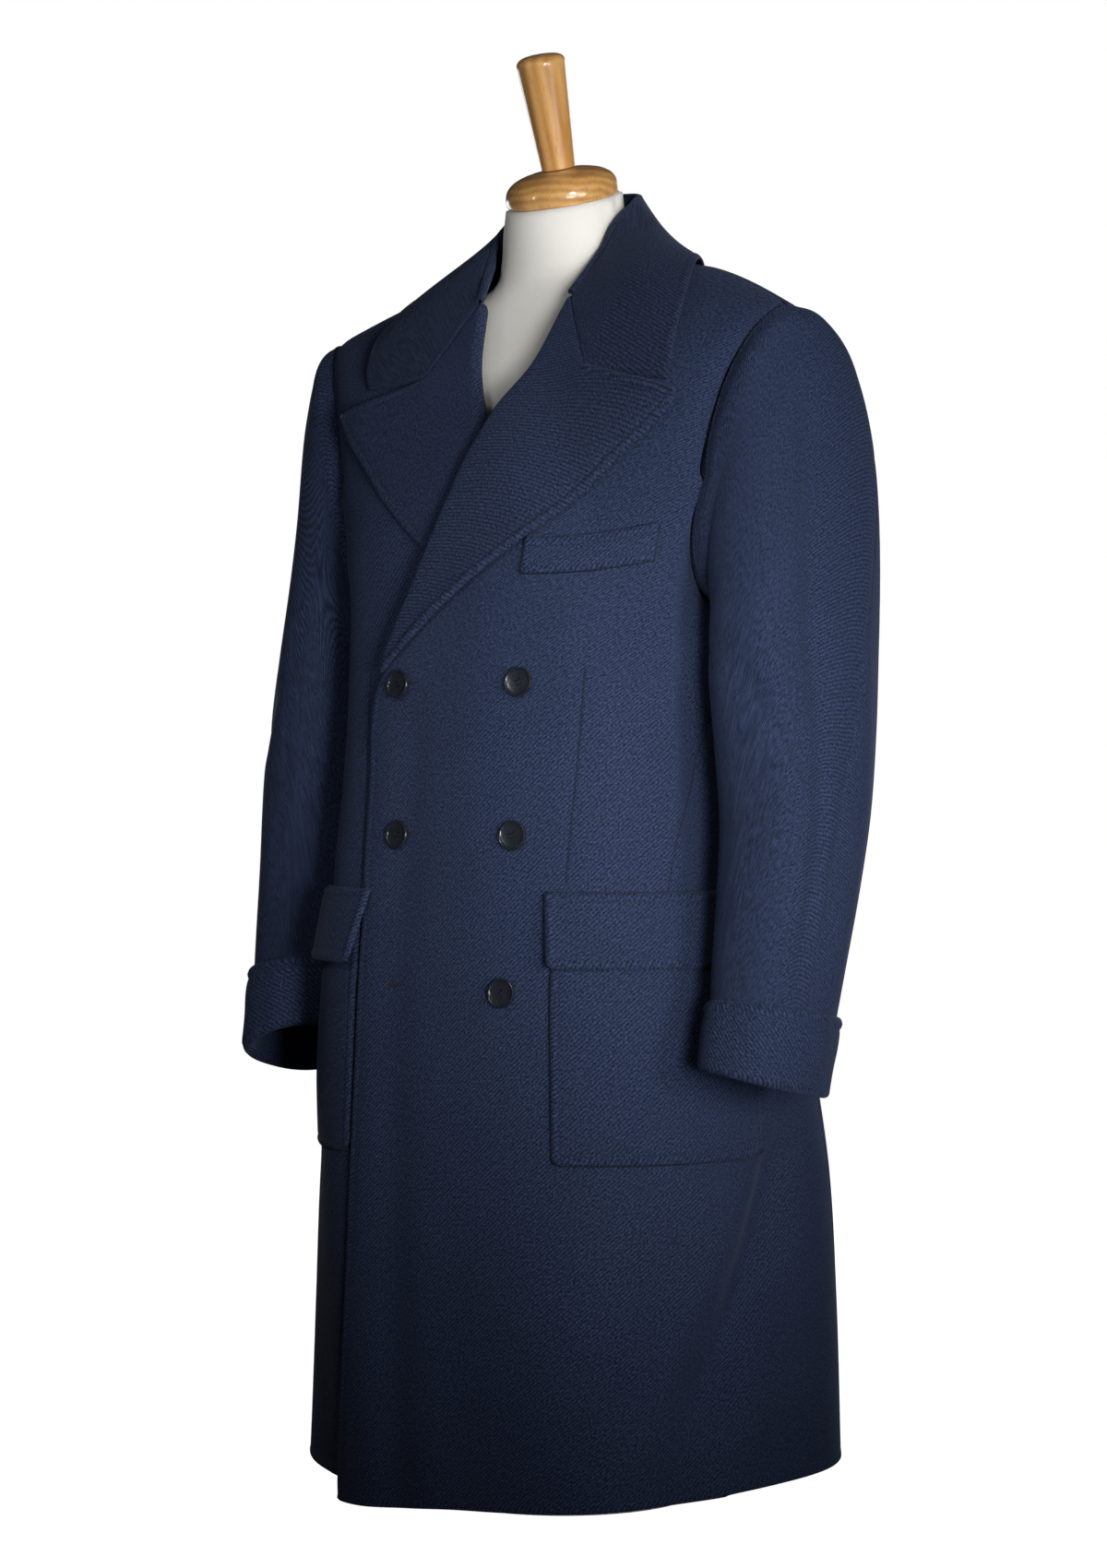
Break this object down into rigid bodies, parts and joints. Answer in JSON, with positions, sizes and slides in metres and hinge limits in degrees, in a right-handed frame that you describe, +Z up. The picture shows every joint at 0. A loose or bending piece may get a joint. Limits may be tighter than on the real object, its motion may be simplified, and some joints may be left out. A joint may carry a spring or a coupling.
{
  "type": "double-breasted wool overcoat on a limbless dress form",
  "caption": "Knee-length double-breasted navy wool overcoat with wide peak lapels, flapped patch pockets and turned-back cuffs, standing on a limbless dress form with a turned wooden handle.",
  "frame": {"origin": "centre of the underside of the stand's base, on the floor", "axes": "+Z up, -Y the way the coat faces, +X the wearer's left"},
  "size_m": [0.5996, 0.4041, 1.2491],
  "materials": {
    "navy_wool": "navy wool twill with a short soft nap",
    "dark_horn": "polished, nearly black, with a raised rim",
    "cream_jersey": "cream jersey stretched over a firm form",
    "varnished_beech": "clear gloss varnish on honey beech",
    "brushed_steel": "satin",
    "white_paint": "satin powder coat"
  },
  "bodies": {
    "root": {"front_left": "navy_wool", "front_right": "navy_wool", "back_left": "navy_wool", "back_right": "navy_wool", "lapel_left": "navy_wool", "lapel_right": "navy_wool", "collar": "navy_wool", "sleeve_left_top": "navy_wool", "sleeve_left_under": "navy_wool", "sleeve_right_top": "navy_wool", "sleeve_right_under": "navy_wool", "cuff_left": "navy_wool", "cuff_right": "navy_wool", "chest_welt": "navy_wool", "pocket_left": "navy_wool", "pocket_right": "navy_wool", "flap_left": "navy_wool", "flap_right": "navy_wool", "button_1": "dark_horn", "button_2": "dark_horn", "button_3": "dark_horn", "button_4": "dark_horn", "button_5": "dark_horn", "form_torso": "cream_jersey", "form_neck_cap": "varnished_beech", "form_handle": "varnished_beech", "form_pole": "brushed_steel", "form_base": "white_paint"}
  },
  "joints": []
}
